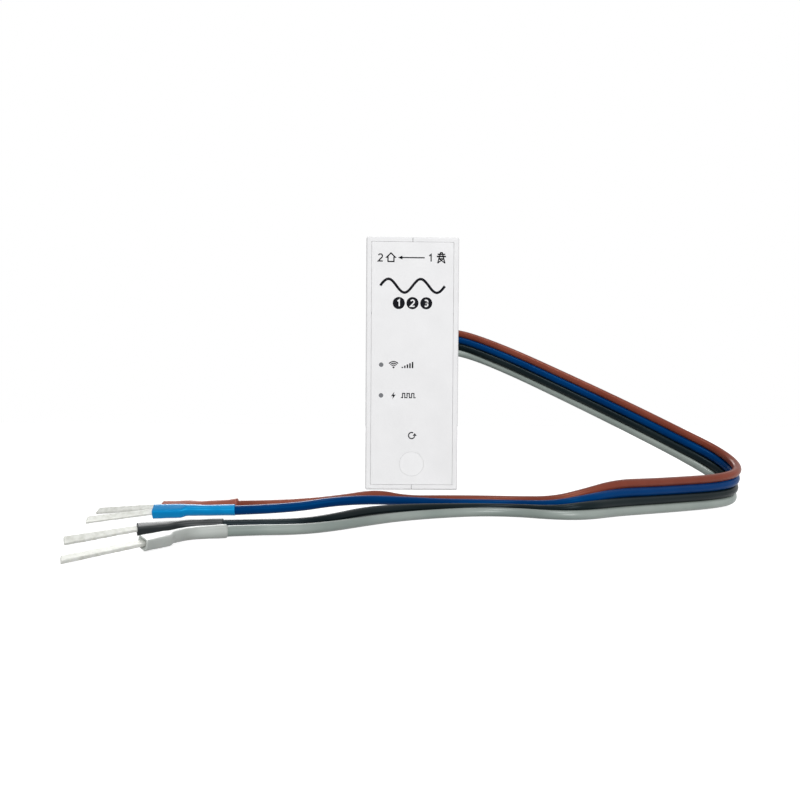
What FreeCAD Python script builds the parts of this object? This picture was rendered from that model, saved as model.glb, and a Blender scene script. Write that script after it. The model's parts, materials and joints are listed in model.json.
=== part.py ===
import FreeCAD, Part
import Sketcher
import math
import os
import re

V = FreeCAD.Vector
os.makedirs("parts", exist_ok=True)
doc = FreeCAD.newDocument("energy_meter")

# Driving dimensions in millimetres. The front plate faces -Y, the wires leave on +X.
dims = doc.addObject("Spreadsheet::Sheet", "dims")
SIZES = {
    # casing of two half shells
    "case_width": 34.5,
    "case_depth": 45.0,
    "case_height": 94.0,
    "edge_round": 0.7,
    "wall_side": 1.95,
    "wall_top": 1.8,
    "wall_bottom": 1.9,
    "wall_back": 2.0,
    "ledge_thick": 1.4,
    "ledge_reach": 1.45,
    "root_sink": 0.2,
    "cut_past": 1.0,
    "tongue_width": 6.0,
    "tongue_reach": 2.5,
    "tongue_thick": 1.1,
    "tongue_rear": 7.0,
    "tongue_fore": -12.0,
    "groove_half": 0.12,
    "groove_deep": 0.35,
    # front plate
    "plate_thick": 1.6,
    "plate_gap": 0.09,
    "hook_width": 3.6,
    "hook_thick": 1.1,
    "hook_catch": 0.7,
    "hook_drop": 28.3,
    "hook_lower": 22.0,
    "post_radius": 1.4,
    "nick_radius": 0.3,
    "nick_deep": 0.6,
    "nick_drop": 28.3,
    # conductor bores and current transformers
    "bore_radius": 4.3,
    "bore_pitch": 18.0,
    "tube_wall": 1.0,
    "coil_gap": 0.15,
    "coil_apart": 0.6,
    "coil_room": 1.8,
    "coil_half": 4.2,
    "coil_cover": 0.9,
    "foot_half": 6.0,
    "foot_stand": 3.7,
    # main board, its ribs and screws
    "board_thick": 1.6,
    "board_gap": 1.1,
    "board_end": 3.1,
    "rib_depth": 2.0,
    "rib_reach": 1.2,
    "rib_end": 5.0,
    "boss_half": 3.2,
    "boss_reach": 2.65,
    "boss_depth": 6.0,
    "pilot_floor": 1.0,
    "screw_inset": 3.0,
    "screw_radius": 0.95,
    "screw_gap": 0.15,
    "screw_spare": 0.5,
    "screw_head": 1.9,
    "head_thick": 1.3,
    # logic board behind the front plate
    "logic_room": 4.5,
    "logic_thick": 1.0,
    "logic_gap": 0.5,
    "logic_low": 4.5,
    "link_inset": 2.5,
    "link_width": 2.5,
    "link_low": 14.0,
    "link_tall": 20.0,
    "radio_inset": 3.0,
    "radio_drop": 4.9,
    "radio_width": 17.0,
    "radio_tall": 20.0,
    "radio_thick": 0.8,
    "radio_edge": 1.2,
    "shield_drop": 7.5,
    "shield_thick": 1.8,
    # reset button
    "button_radius": 4.5,
    "button_gap": 0.05,
    "button_high": 9.7,
    "flange_reach": 1.1,
    "flange_thick": 0.7,
    "flange_gap": 0.1,
    "stem_radius": 1.5,
    "stem_gap": 0.6,
    "plunger_radius": 1.2,
    "plunger_sink": 1.0,
    "well_floor": 0.9,
    "switch_side": 6.0,
    "switch_thick": 2.6,
    # status lamps
    "guide_radius": 0.85,
    "guide_flange": 1.6,
    "guide_flange_thick": 0.6,
    "lamp_inset": 5.75,
    "lamp_drop": 47.4,
    "lamp_pitch": 11.4,
    "lamp_thick": 0.8,
    "lamp_width": 1.8,
    "lamp_tall": 1.0,
    # parts on the main board
    "part_inset": 1.7,
    "part_gap": 2.0,
    "transformer_tall": 13.5,
    "transformer_deep": 10.5,
    "capacitor_radius": 5.0,
    "capacitor_long": 10.4,
    "capacitor_inset": 3.0,
    "capacitor_gap": 1.2,
    "foot_lift": 1.3,
    "foot_wide": 2.0,
    "foot_tall": 1.4,
    "foot_inset": 0.5,
    "varistor_radius": 4.3,
    "varistor_thick": 3.4,
    "varistor_foot": 6.0,
    "fuse_radius": 1.9,
    "fuse_long": 10.0,
    "chip_side": 8.0,
    "chip_thick": 1.2,
    "chip_place": -1.5,
    # wires, from the terminal block through the comb and the slot
    "wire_diameter": 2.4,
    "exit_place": -11.5,
    "exit_pitch": 2.45,
    "slot_side": 0.45,
    "slot_ends": 0.5,
    "comb_long": 4.0,
    "comb_gap": 2.8,
    "terminal_long": 5.2,
    "terminal_gap": 2.5,
    "block_cover": 1.0,
    "block_ends": 1.2,
    "block_above": 2.4,
    # sleeves and flat pins at the wires' ends
    "sleeve_radius": 1.6,
    "sleeve_wide": 1.85,
    "sleeve_thick": 1.2,
    "sleeve_knee": 1.5,
    "sleeve_taper": 2.5,
    "wire_in_sleeve": 6.5,
    "pin_in_sleeve": 8.0,
    "pin_wide": 1.9,
    "pin_thick": 0.72,
    "pin_elbow": 0.7,
    "pin_overlap": 0.2,
}

# Places that follow from the sizes above
PLACES = {
    "front_face": "-case_depth/2",
    "back_inner": "case_depth/2-wall_back",
    "side_inner": "case_width/2-wall_side",
    "roof_inner": "case_height-wall_top",
    "plate_back": "front_face+plate_thick",
    "ledge_back": "plate_back+ledge_thick",
    "ledge_side": "side_inner-ledge_reach",
    "hook_side": "ledge_side-plate_gap",
    "hook_upper": "case_height-hook_drop",
    "bore_middle": "case_height/2",
    "bore_lower": "bore_middle-bore_pitch",
    "bore_upper": "bore_middle+bore_pitch",
    "coil_inner": "bore_radius+tube_wall+coil_gap",
    "coil_outer": "(bore_pitch-coil_apart)/2",
    "bore_centre": "back_inner-coil_room-coil_outer",
    "board_back": "bore_centre-coil_outer-foot_stand",
    "board_front": "board_back-board_thick",
    "board_half": "side_inner-board_gap",
    "board_low": "wall_bottom+board_end",
    "board_high": "roof_inner-board_end",
    "screw_place": "board_half-screw_inset",
    "screw_lower": "board_low+rib_end",
    "screw_upper": "board_high-rib_end",
    "pilot_end": "board_back+boss_depth-pilot_floor",
    "capacitor_upper": "board_high-capacitor_inset-capacitor_radius",
    "capacitor_lower": "capacitor_upper-2*capacitor_radius-capacitor_gap",
    "stack_high": "capacitor_lower-capacitor_radius-block_above",
    "exit_high": "stack_high-block_ends-wire_diameter/2",
    "stack_low": "exit_high-3*exit_pitch-wire_diameter/2-block_ends",
    "block_front": "exit_place-wire_diameter/2-block_cover",
    "comb_right": "side_inner-comb_gap",
    "comb_left": "comb_right-comb_long",
    "terminal_face": "comb_left-terminal_gap",
    "logic_face": "plate_back+logic_room",
    "logic_back": "logic_face+logic_thick",
    "logic_half": "ledge_side-logic_gap",
    "logic_high": "stack_low-board_gap",
    "link_left": "-logic_half+link_inset",
    "radio_right": "logic_half-radio_inset",
    "radio_left": "radio_right-radio_width",
    "radio_high": "logic_high-radio_drop",
    "radio_low": "radio_high-radio_tall",
    "radio_face": "logic_face-radio_thick",
    "flange_front": "plate_back+flange_gap",
    "flange_back": "flange_front+flange_thick",
    "switch_top": "logic_face-switch_thick",
    "stem_end": "switch_top-stem_gap",
    "lamp_place": "-case_width/2+lamp_inset",
    "lamp_upper": "case_height-lamp_drop",
    "lamp_lower": "lamp_upper-lamp_pitch",
    "lamp_front": "logic_face-lamp_thick",
    "supply_left": "-board_half+part_inset",
    "supply_top": "screw_upper-screw_head-part_gap",
    "supply_low": "supply_top-transformer_tall",
    "capacitor_place": "board_half-part_inset-capacitor_radius",
    "supply_right": "capacitor_place-capacitor_radius-part_gap",
    "varistor_high": "supply_low-part_gap-varistor_radius",
    "varistor_axis": "board_front-foot_lift-varistor_radius",
    "fuse_place": "supply_left+varistor_thick+part_gap+fuse_radius",
    "fuse_axis": "board_front-foot_lift-fuse_radius",
    "fuse_high": "supply_low-part_gap",
    "fuse_low": "fuse_high-fuse_long",
    "chip_high": "stack_low-2*part_gap",
    "chip_low": "chip_high-chip_side",
}
CELLS = dict(SIZES)
CELLS.update((name, "=" + text) for name, text in PLACES.items())
for row, (name, content) in enumerate(CELLS.items(), start=1):
    dims.set("A%d" % row, name)
    dims.set("B%d" % row, str(content))
    dims.setAlias("B%d" % row, name)
doc.recompute()


def val(name):
    return float(dims.get(name))


def bind(obj, prop, text):
    """Bind a property to an expression in the sheet's names."""
    obj.setExpression(prop, re.sub(r"[a-z]+_[a-z_]+", lambda m: "dims." + m.group(0), text))


def box(label, x0, x1, y0, y1, z0, z1):
    """A block between six planes, each an expression."""
    b = doc.addObject("Part::Box", label)
    b.Label = label
    bind(b, "Length", "(%s)-(%s)" % (x1, x0))
    bind(b, "Width", "(%s)-(%s)" % (y1, y0))
    bind(b, "Height", "(%s)-(%s)" % (z1, z0))
    bind(b, "Placement.Base.x", x0)
    bind(b, "Placement.Base.y", y0)
    bind(b, "Placement.Base.z", z0)
    return b


TURNS = {
    "X": FreeCAD.Rotation(V(0, 1, 0), 90),
    "Y": FreeCAD.Rotation(V(1, 0, 0), -90),
    "Z": FreeCAD.Rotation(),
}


def rod(label, axis, radius, start, end, at):
    """A cylinder along an axis from start to end; at holds its other two coordinates."""
    c = doc.addObject("Part::Cylinder", label)
    c.Label = label
    bind(c, "Radius", radius)
    bind(c, "Height", "(%s)-(%s)" % (end, start))
    c.Placement.Rotation = TURNS[axis]
    spots = list(at)
    spots.insert("XYZ".index(axis), start)
    for key, text in zip("xyz", spots):
        bind(c, "Placement.Base." + key, text)
    return c


def fuse(label, shapes):
    f = doc.addObject("Part::MultiFuse", label)
    f.Label = label
    f.Shapes = shapes
    f.Refine = True
    return f


def cut(label, base, tools):
    c = doc.addObject("Part::Cut", label)
    c.Label = label
    c.Base = base
    c.Tool = tools[0] if len(tools) == 1 else fuse(label + "_tools", tools)
    c.Refine = True
    return c


nodes = {}

BORES = ("lower", "middle", "upper")


def mirrored(side, inner, outer):
    """X limits of a feature between two distances from the joint, on one side."""
    if side > 0:
        return inner, outer
    return "-(%s)" % outer, "-(%s)" % inner


# Casing
full = box("case_form", "-case_width/2", "case_width/2", "front_face", "case_depth/2", "0", "case_height")
rounded = doc.addObject("Part::Fillet", "case_rounded")
rounded.Base = full
doc.recompute()
rounded.Edges = [(n, val("edge_round"), val("edge_round")) for n in range(1, 13)]


def lap_tongues():
    """Four tongues of the left half shell that reach under the right one."""
    levels = {
        "top": ("roof_inner-tongue_thick", "roof_inner-plate_gap", "roof_inner+root_sink"),
        "low": ("wall_bottom+tongue_thick", "wall_bottom+plate_gap", "wall_bottom-root_sink"),
    }
    made = []
    for word in ("tongue_rear", "tongue_fore"):
        far = word + "+tongue_width"
        for end, (inside, skin, root) in levels.items():
            tag = "%s_%s" % (word, end)
            low, high = (inside, skin) if end == "top" else (skin, inside)
            made.append(box(tag, "-tongue_reach", "tongue_reach", word, far, low, high))
            low, high = (inside, root) if end == "top" else (root, inside)
            made.append(box(tag + "_root", "-tongue_reach", "0", word, far, low, high))
    return made


def half_hollow(side, tag):
    """One half of the rounded block with the room inside taken out."""
    low, high = mirrored(side, "0", "case_width")
    half = box(tag + "_half", low, high, "-case_depth", "case_depth", "-case_height", "2*case_height")
    outer = doc.addObject("Part::Common", tag + "_outer")
    outer.Base = rounded
    outer.Tool = half
    low, high = mirrored(side, "-cut_past", "side_inner")
    room = box(tag + "_room", low, high, "-case_depth", "back_inner", "wall_bottom", "roof_inner")
    return cut(tag + "_hollow", outer, [room])


def plate_ledge(side, tag):
    """The ring inside one half shell that carries the front plate."""
    low, high = mirrored(side, "0", "side_inner+root_sink")
    ledge = box(tag + "_ledge", low, high, "plate_back", "ledge_back", "wall_bottom-root_sink",
                "roof_inner+root_sink")
    low, high = mirrored(side, "-cut_past", "ledge_side")
    window = box(tag + "_window", low, high, "front_face", "0", "wall_bottom+ledge_reach",
                 "roof_inner-ledge_reach")
    return cut(tag + "_ledge_ring", ledge, [window])


def board_carriers(side, tag):
    """The rib and the screw boss of one half shell that carry the main board."""
    low, high = mirrored(side, "board_half-rib_reach", "side_inner+root_sink")
    rib = box(tag + "_rib", low, high, "board_back", "board_back+rib_depth", "screw_lower", "screw_upper")
    low, high = mirrored(side, "screw_place-boss_reach", "side_inner+root_sink")
    level = "screw_upper" if side < 0 else "screw_lower"
    boss = box(tag + "_boss", low, high, "board_back", "board_back+boss_depth", level + "-boss_half",
               level + "+boss_half")
    place = "-screw_place" if side < 0 else "screw_place"
    pilot = rod(tag + "_pilot", "Y", "screw_radius", "board_front", "pilot_end", (place, level))
    return [rib, boss], pilot


def joint_groove(side, tag):
    """A shallow groove on one half shell's outside, along the joint."""
    low, high = mirrored(side, "-cut_past", "groove_half")
    band = box(tag + "_band", low, high, "-case_depth", "case_depth", "-case_height", "2*case_height")
    low, high = mirrored(side, "-2*cut_past", "2*groove_half")
    core = box(tag + "_band_core", low, high, "front_face+groove_deep", "case_depth/2-groove_deep",
               "groove_deep", "case_height-groove_deep")
    return cut(tag + "_groove", band, [core])


def half_case(side):
    """One moulded half shell: -1 is the left one, 1 the right one."""
    tag = "left" if side < 0 else "right"
    carriers, pilot = board_carriers(side, tag)
    adds = [half_hollow(side, tag), plate_ledge(side, tag)] + carriers
    tools = [pilot, joint_groove(side, tag)]
    for name in BORES:
        at = ("bore_centre", "bore_" + name)
        low, high = mirrored(side, "0", "side_inner+root_sink")
        adds.append(rod(tag + "_tube_" + name, "X", "bore_radius+tube_wall", low, high, at))
        low, high = mirrored(side, "-cut_past", "case_width")
        tools.append(rod(tag + "_bore_" + name, "X", "bore_radius", low, high, at))
    if side < 0:
        adds += lap_tongues()
    else:
        tools.append(box("wire_slot", "side_inner-cut_past", "case_width",
                         "exit_place-wire_diameter/2-slot_side", "exit_place+wire_diameter/2+slot_side",
                         "exit_high-3*exit_pitch-wire_diameter/2-slot_ends",
                         "exit_high+wire_diameter/2+slot_ends"))
    return cut("case_" + tag, fuse(tag + "_body", adds), tools)


nodes["case_left"] = half_case(-1)
nodes["case_right"] = half_case(1)


# Front plate: an outline sketch with the button's and the lamps' holes, padded to its thickness
def origin_plane(body, role):
    return [f for f in body.Origin.OriginFeatures if f.Role == role][0]


def sketch_rectangle(sketch, low_corner, size):
    """A rectangle whose corner and sides are held by distances; returns their numbers."""
    (x0, y0), (wide, tall) = low_corner, size
    corners = [V(x0, y0, 0), V(x0 + wide, y0, 0), V(x0 + wide, y0 + tall, 0), V(x0, y0 + tall, 0)]
    for n in range(4):
        sketch.addGeometry(Part.LineSegment(corners[n], corners[(n + 1) % 4]), False)
    for n in range(4):
        sketch.addConstraint(Sketcher.Constraint("Coincident", n, 2, (n + 1) % 4, 1))
        sketch.addConstraint(Sketcher.Constraint("Vertical" if n % 2 else "Horizontal", n))
    return [
        sketch.addConstraint(Sketcher.Constraint("DistanceX", -1, 1, 0, 1, x0)),
        sketch.addConstraint(Sketcher.Constraint("DistanceY", -1, 1, 0, 1, y0)),
        sketch.addConstraint(Sketcher.Constraint("DistanceX", 0, 1, 0, 2, wide)),
        sketch.addConstraint(Sketcher.Constraint("DistanceY", 1, 1, 1, 2, tall)),
    ]


def sketch_circle(sketch, x, y, radius):
    n = sketch.addGeometry(Part.Circle(V(x, y, 0), V(0, 0, 1), radius), False)
    return [
        sketch.addConstraint(Sketcher.Constraint("Radius", n, radius)),
        sketch.addConstraint(Sketcher.Constraint("DistanceY", -1, 1, n, 3, y)),
        sketch.addConstraint(Sketcher.Constraint("DistanceX", -1, 1, n, 3, x)),
    ]


plate = doc.addObject("PartDesign::Body", "plate_panel")
plate.Label = "plate_panel"
doc.recompute()
face = plate.newObject("Sketcher::SketchObject", "plate_outline")
face.AttachmentSupport = [(origin_plane(plate, "XZ_Plane"), "")]
face.MapMode = "FlatFace"
bind(face, "AttachmentOffset.Base.z", "case_depth/2-plate_thick")
plate_half = val("side_inner") - val("plate_gap")
plate_low = val("wall_bottom") + val("plate_gap")
plate_high = val("roof_inner") - val("plate_gap")
limits = sketch_rectangle(face, (-plate_half, plate_low), (2 * plate_half, plate_high - plate_low))
bind(face, "Constraints[%d]" % limits[0], "-side_inner+plate_gap")
bind(face, "Constraints[%d]" % limits[1], "wall_bottom+plate_gap")
bind(face, "Constraints[%d]" % limits[2], "2*side_inner-2*plate_gap")
bind(face, "Constraints[%d]" % limits[3], "roof_inner-wall_bottom-2*plate_gap")
hole = sketch_circle(face, 0, val("button_high"), val("button_radius") + val("button_gap"))
bind(face, "Constraints[%d]" % hole[0], "button_radius+button_gap")
bind(face, "Constraints[%d]" % hole[1], "button_high")
for level in ("lamp_upper", "lamp_lower"):
    hole = sketch_circle(face, val("lamp_place"), val(level), val("guide_radius"))
    bind(face, "Constraints[%d]" % hole[0], "guide_radius")
    bind(face, "Constraints[%d]" % hole[1], level)
    bind(face, "Constraints[%d]" % hole[2], "lamp_place")
pad = plate.newObject("PartDesign::Pad", "plate_pad")
pad.Profile = face
bind(pad, "Length", "plate_thick")
doc.recompute()
assert abs(pad.Shape.BoundBox.YMin - val("front_face")) < 0.01, pad.Shape.BoundBox

# Hooks behind the ledge, and two posts that hold the logic board
plate_parts = [plate]
for side in (-1, 1):
    for level in ("hook_upper", "hook_lower"):
        tag = "%s_%s" % (level, "left" if side < 0 else "right")
        bottom, top = level + "-hook_width/2", level + "+hook_width/2"
        low, high = mirrored(side, "hook_side-hook_thick", "hook_side")
        plate_parts.append(box(tag, low, high, "plate_back-root_sink", "ledge_back+hook_catch", bottom, top))
        low, high = mirrored(side, "hook_side-root_sink", "hook_side+hook_catch")
        plate_parts.append(box(tag + "_catch", low, high, "ledge_back+plate_gap", "ledge_back+hook_catch",
                               bottom, top))
for word, place, height in (
        ("upper", "logic_half-2*post_radius", "logic_high-2*post_radius"),
        ("lower", "-logic_half+2*post_radius", "logic_low+2*post_radius")):
    plate_parts.append(rod("post_" + word, "Y", "post_radius", "plate_back-root_sink", "logic_face",
                           (place, height)))
NICKS = {
    "top_left": ("-side_inner", "roof_inner"),
    "top_right": ("side_inner", "roof_inner"),
    "low_left": ("-side_inner", "wall_bottom"),
    "low_right": ("side_inner", "wall_bottom"),
    "side_left": ("-side_inner", "case_height-nick_drop"),
    "side_right": ("side_inner", "case_height-nick_drop"),
}
nicks = []
for word, at in NICKS.items():
    nicks.append(rod("nick_" + word, "Y", "nick_radius", "front_face-cut_past", "front_face+nick_deep", at))
nodes["front_plate"] = cut("front_plate", fuse("plate_hooked", plate_parts), nicks)

# Reset button, the plunger it pushes and the switch under it
BUTTON = ("0", "button_high")
disc = rod("button_disc", "Y", "button_radius", "front_face", "flange_back", BUTTON)
flange = rod("button_flange", "Y", "button_radius+flange_reach", "flange_front", "flange_back", BUTTON)
stem = rod("button_stem", "Y", "stem_radius", "plate_back", "stem_end", BUTTON)
nodes["reset_button"] = fuse("reset_button", [disc, flange, stem])
nodes["switch_plunger"] = rod("switch_plunger", "Y", "plunger_radius", "stem_end", "switch_top+plunger_sink",
                              BUTTON)
block = box("switch_block", "-switch_side/2", "switch_side/2", "switch_top", "logic_face",
            "button_high-switch_side/2", "button_high+switch_side/2")
well = rod("switch_well", "Y", "plunger_radius+button_gap", "switch_top-cut_past", "logic_face-well_floor",
           BUTTON)
nodes["reset_switch"] = cut("reset_switch", block, [well])

# Status lamps and their light guides
for level in ("upper", "lower"):
    height = "lamp_" + level
    at = ("lamp_place", height)
    guide = rod("guide_rod_" + level, "Y", "guide_radius", "front_face", "lamp_front", at)
    collar = rod("guide_collar_" + level, "Y", "guide_flange", "plate_back", "plate_back+guide_flange_thick",
                 at)
    nodes["light_guide_" + level] = fuse("light_guide_" + level, [guide, collar])
    nodes["status_lamp_" + level] = box(
        "status_lamp_" + level, "lamp_place-lamp_width/2", "lamp_place+lamp_width/2", "lamp_front",
        "logic_face", height + "-lamp_tall/2", height + "+lamp_tall/2")

# Logic board with its radio, and the strip that joins it to the main board
nodes["logic_board"] = box("logic_board", "-logic_half", "logic_half", "logic_face", "logic_back",
                           "logic_low", "logic_high")
nodes["board_link"] = box("board_link", "link_left", "link_left+link_width", "logic_back", "board_front",
                          "link_low", "link_low+link_tall")
nodes["radio_board"] = box("radio_board", "radio_left", "radio_right", "radio_face", "logic_face",
                           "radio_low", "radio_high")
nodes["radio_shield"] = box("radio_shield", "radio_left+radio_edge", "radio_right-radio_edge",
                            "radio_face-shield_thick", "radio_face", "radio_low+radio_edge",
                            "radio_high-shield_drop")

# Main board, screwed to a boss of each half shell
panel = box("main_panel", "-board_half", "board_half", "board_front", "board_back", "board_low", "board_high")
holes = []
for tag, place in (("upper", "-screw_place"), ("lower", "screw_place")):
    at = (place, "screw_" + tag)
    holes.append(rod("board_hole_" + tag, "Y", "screw_radius+screw_gap", "board_front-cut_past",
                     "board_back+cut_past", at))
    head = rod("screw_head_" + tag, "Y", "screw_head", "board_front-head_thick", "board_front", at)
    shank = rod("screw_shank_" + tag, "Y", "screw_radius", "board_front-root_sink", "pilot_end-screw_spare",
                at)
    nodes["board_screw_" + tag] = fuse("board_screw_" + tag, [head, shank])
nodes["main_board"] = cut("main_board", panel, holes)

# Supply parts on the main board
nodes["supply_transformer"] = box("supply_transformer", "supply_left", "supply_right",
                                  "board_front-transformer_deep", "board_front", "supply_low", "supply_top")
for tag in ("upper", "lower"):
    nodes["supply_capacitor_" + tag] = rod(
        "supply_capacitor_" + tag, "Y", "capacitor_radius", "board_front-capacitor_long", "board_front",
        ("capacitor_place", "capacitor_" + tag))
disc = rod("varistor_disc", "X", "varistor_radius", "supply_left", "supply_left+varistor_thick",
           ("varistor_axis", "varistor_high"))
foot = box("varistor_stand", "supply_left+varistor_thick/4", "supply_left+3*varistor_thick/4",
           "varistor_axis", "board_front", "varistor_high-varistor_foot/2", "varistor_high+varistor_foot/2")
nodes["surge_varistor"] = fuse("surge_varistor", [disc, foot])
fuse_parts = [rod("fuse_rod", "Z", "fuse_radius", "fuse_low", "fuse_high", ("fuse_place", "fuse_axis"))]
for tag, height in (("low", "fuse_low+foot_inset"), ("high", "fuse_high-foot_inset-foot_tall")):
    fuse_parts.append(box("fuse_foot_" + tag, "fuse_place-foot_wide/2", "fuse_place+foot_wide/2",
                          "fuse_axis", "board_front", height, height + "+foot_tall"))
nodes["fuse_resistor"] = fuse("fuse_resistor", fuse_parts)
nodes["metering_chip"] = box("metering_chip", "chip_place", "chip_place+chip_side", "board_front-chip_thick",
                             "board_front", "chip_low", "chip_high")

# Terminal block and comb that hold the four wires
WIRES = ["brown", "blue", "black", "gray"]
nodes["terminal_block"] = box("terminal_block", "terminal_face-terminal_long", "terminal_face",
                              "block_front", "board_front", "stack_low", "stack_high")
comb = box("comb_block", "comb_left", "comb_right", "block_front", "board_front", "stack_low", "stack_high")
grips = [rod("grip_" + name, "X", "wire_diameter/2", "comb_left-cut_past", "comb_right+cut_past",
             ("exit_place", "exit_high-%d*exit_pitch" % n)) for n, name in enumerate(WIRES)]
nodes["wire_comb"] = cut("wire_comb", comb, grips)

# Current transformers round the three conductor bores
for name in BORES:
    height = "bore_" + name
    at = ("bore_centre", height)
    whole = rod("coil_whole_" + name, "X", "coil_outer", "-coil_half", "coil_half", at)
    bore = rod("coil_bore_" + name, "X", "coil_inner", "-coil_half-cut_past", "coil_half+cut_past", at)
    ring = rod("core_whole_" + name, "X", "coil_outer-coil_cover", "-coil_half+coil_cover",
               "coil_half-coil_cover", at)
    eye = rod("core_eye_" + name, "X", "coil_inner+coil_cover", "-coil_half-cut_past",
              "coil_half+cut_past", at)
    core = cut("ct_core_" + name, ring, [eye])
    nodes["ct_core_" + name] = core
    nodes["ct_coil_" + name] = cut("ct_coil_" + name, whole, [bore, core])
    block = box("ct_block_" + name, "-coil_half", "coil_half", "board_back", "bore_centre-coil_half",
                height + "-foot_half", height + "+foot_half")
    seat = rod("ct_seat_" + name, "X", "coil_outer", "-coil_half-cut_past", "coil_half+cut_past", at)
    nodes["ct_foot_" + name] = cut("ct_foot_" + name, block, [seat])

# Route of the standing ribbon of four wires: x, y, height of the lowest wire, rise to the next
# wire and its shift in x
RIBBON = [
    (6, -11.5, 52.75, 2.45, 0), (12.5, -11.5, 52.75, 2.45, 0), (18.8, -12.1, 52.15, 2.53, 0),
    (27, -15.6, 48.9, 2.62, 0), (39, -22.5, 43, 2.68, 0), (54, -31, 34.8, 2.71, 0),
    (69, -39.4, 26.5, 2.73, 0), (81, -46.2, 19.6, 2.74, 0), (89.2, -50.8, 14.6, 2.72, 0.15),
    (95.5, -55, 10.6, 2.7, 0.38), (98.55, -59.6, 7.7, 2.72, 0.48), (99.6, -65.4, 5, 2.76, 0.5),
    (98.4, -71.1, 3.1, 2.74, 0.46), (95.2, -75.7, 2, 2.66, 0.32), (87.9, -80, 1.45, 2.55, 0.15),
    (77.5, -85.2, 1.3, 2.52, 0), (65.5, -91.4, 1.25, 2.5, 0),
]

# Where each wire goes once the ribbon opens; the last run lies in its sleeve
LOOSE = {
    "brown": [
        (54, -95.4, 8.65), (44, -98.5, 6.2), (36.2, -97.9, 4.3), (27.6, -93.3, 3.75),
        (16.9, -92, 3.8), (6.5, -94.8, 4.1), (-4.2, -99, 4.4), (-12, -101.6, 6.3),
        (-22, -105, 5), (-31.7, -106.9, 4.2), (-43.3, -107.5, 3.8), (-54, -106.9, 3.6),
    ],
    "blue": [
        (53.8, -96.7, 6.25), (43.5, -102.3, 5), (35.6, -101, 3.45), (27.2, -95.7, 2.95),
        (16.5, -94.5, 3), (6.2, -97.4, 3.4), (-4, -102, 4.4), (-14, -107.5, 5.3),
        (-23.2, -111, 5.1), (-31.2, -111.7, 3.85), (-43.1, -112.2, 3.05), (-53.8, -112.7, 2.8),
    ],
    "black": [
        (53.8, -97.9, 3.8), (43.2, -104.9, 3.5), (35.5, -104.3, 2.45), (27, -98.1, 2.1),
        (16.4, -96.9, 2.15), (6.3, -100.2, 2.45), (-5.9, -107.1, 3), (-14.7, -115.8, 3.25),
        (-22.3, -125, 2.6), (-29.1, -129.6, 2.1), (-41.7, -131.3, 2.1), (-52.4, -133.2, 2.1),
    ],
    "gray": [
        (53.6, -98.4, 1.25), (43.2, -106.4, 1.25), (34.7, -106.5, 1.25), (25.9, -100.4, 1.25),
        (16.2, -99.2, 1.25), (6.1, -102.7, 1.25), (-5.9, -109.8, 1.25), (-14.6, -119.1, 1.25),
        (-21.9, -127.9, 1.25), (-28.9, -133.2, 1.25), (-40.4, -137, 1.65), (-49.8, -141.5, 1.7),
    ],
}

# The end of each sleeve, the tip of its pin, and how far their flat sections lean to the front in
# degrees
ENDS = {
    "brown": ((-67.3, -106.5, 3.1), (-85.7, -101.2, 1.3), 25),
    "blue": ((-67.4, -113.5, 2.6), (-82, -118, 1.15), 29),
    "black": ((-63.2, -138.4, 2), (-74.1, -149.1, 1.15), 20),
    "gray": ((-56.6, -155.2, 1.75), (-65.9, -169.5, 1.15), 12),
}


def wire_route(name):
    """All the points of one wire: the ribbon's, at this wire's level, then its own."""
    rank = len(WIRES) - 1 - WIRES.index(name)
    ribbon = [V(x + rank * lean, y, low + rank * rise) for x, y, low, rise, lean in RIBBON]
    return ribbon + [V(*point) for point in LOOSE[name]]


def rounded_path(points):
    """Straight runs joined by tangent arcs, and the least radius among them."""
    edges = []
    radii = []
    start = points[0]
    for before, corner, after in zip(points, points[1:], points[2:]):
        back = before - corner
        ahead = after - corner
        reach = 0.45 * min(back.Length, ahead.Length)
        radius = reach / math.tan((math.pi - back.getAngle(ahead)) / 2)
        back.normalize()
        ahead.normalize()
        crown = corner + (back + ahead).normalize() * (math.hypot(reach, radius) - radius)
        edges.append(Part.LineSegment(start, corner + back * reach).toShape())
        edges.append(Part.Arc(corner + back * reach, crown, corner + ahead * reach).toShape())
        radii.append(radius)
        start = corner + ahead * reach
    edges.append(Part.LineSegment(start, points[-1]).toShape())
    return Part.Wire(edges), min(radii)


def wire_solid(name):
    """A round tube along the wire's route."""
    points = wire_route(name)
    path, least = rounded_path(points)
    radius = val("wire_diameter") / 2
    ring = Part.Wire([Part.Circle(points[0], points[1] - points[0], radius).toShape()])
    solid = path.makePipeShell([ring], True, False)
    ratio = solid.Volume / (math.pi * radius ** 2 * path.Length)
    print("wire", name, "length", round(path.Length, 1), "least radius", round(least, 2),
          "volume ratio", round(ratio, 4))
    assert abs(ratio - 1) < 0.01, name
    return solid


def turned_along(direction, lean):
    """A rotation that lays X along direction with Z up, then leans it to the front in degrees."""
    along = V(direction).normalize()
    up = (V(0, 0, 1) - along * along.z).normalize()
    turn = FreeCAD.Rotation(along, -lean)
    return FreeCAD.Rotation(along, turn.multVec(up.cross(along)), turn.multVec(up), "XZY")


def ring_at(x, wide, thick):
    """A closed ring in the plane at x: round if wide equals thick, else an ellipse."""
    if wide == thick:
        return Part.Wire([Part.Circle(V(x, 0, 0), V(1, 0, 0), wide).toShape()])
    return Part.Wire([Part.Ellipse(V(x, wide, 0), V(x, 0, thick), V(x, 0, 0)).toShape()])


def pin_bar(start, end):
    """A flat bar along X."""
    wide, thick = val("pin_wide"), val("pin_thick")
    return Part.makeBox(end - start, wide, thick, V(start, -wide / 2, -thick / 2))


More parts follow.
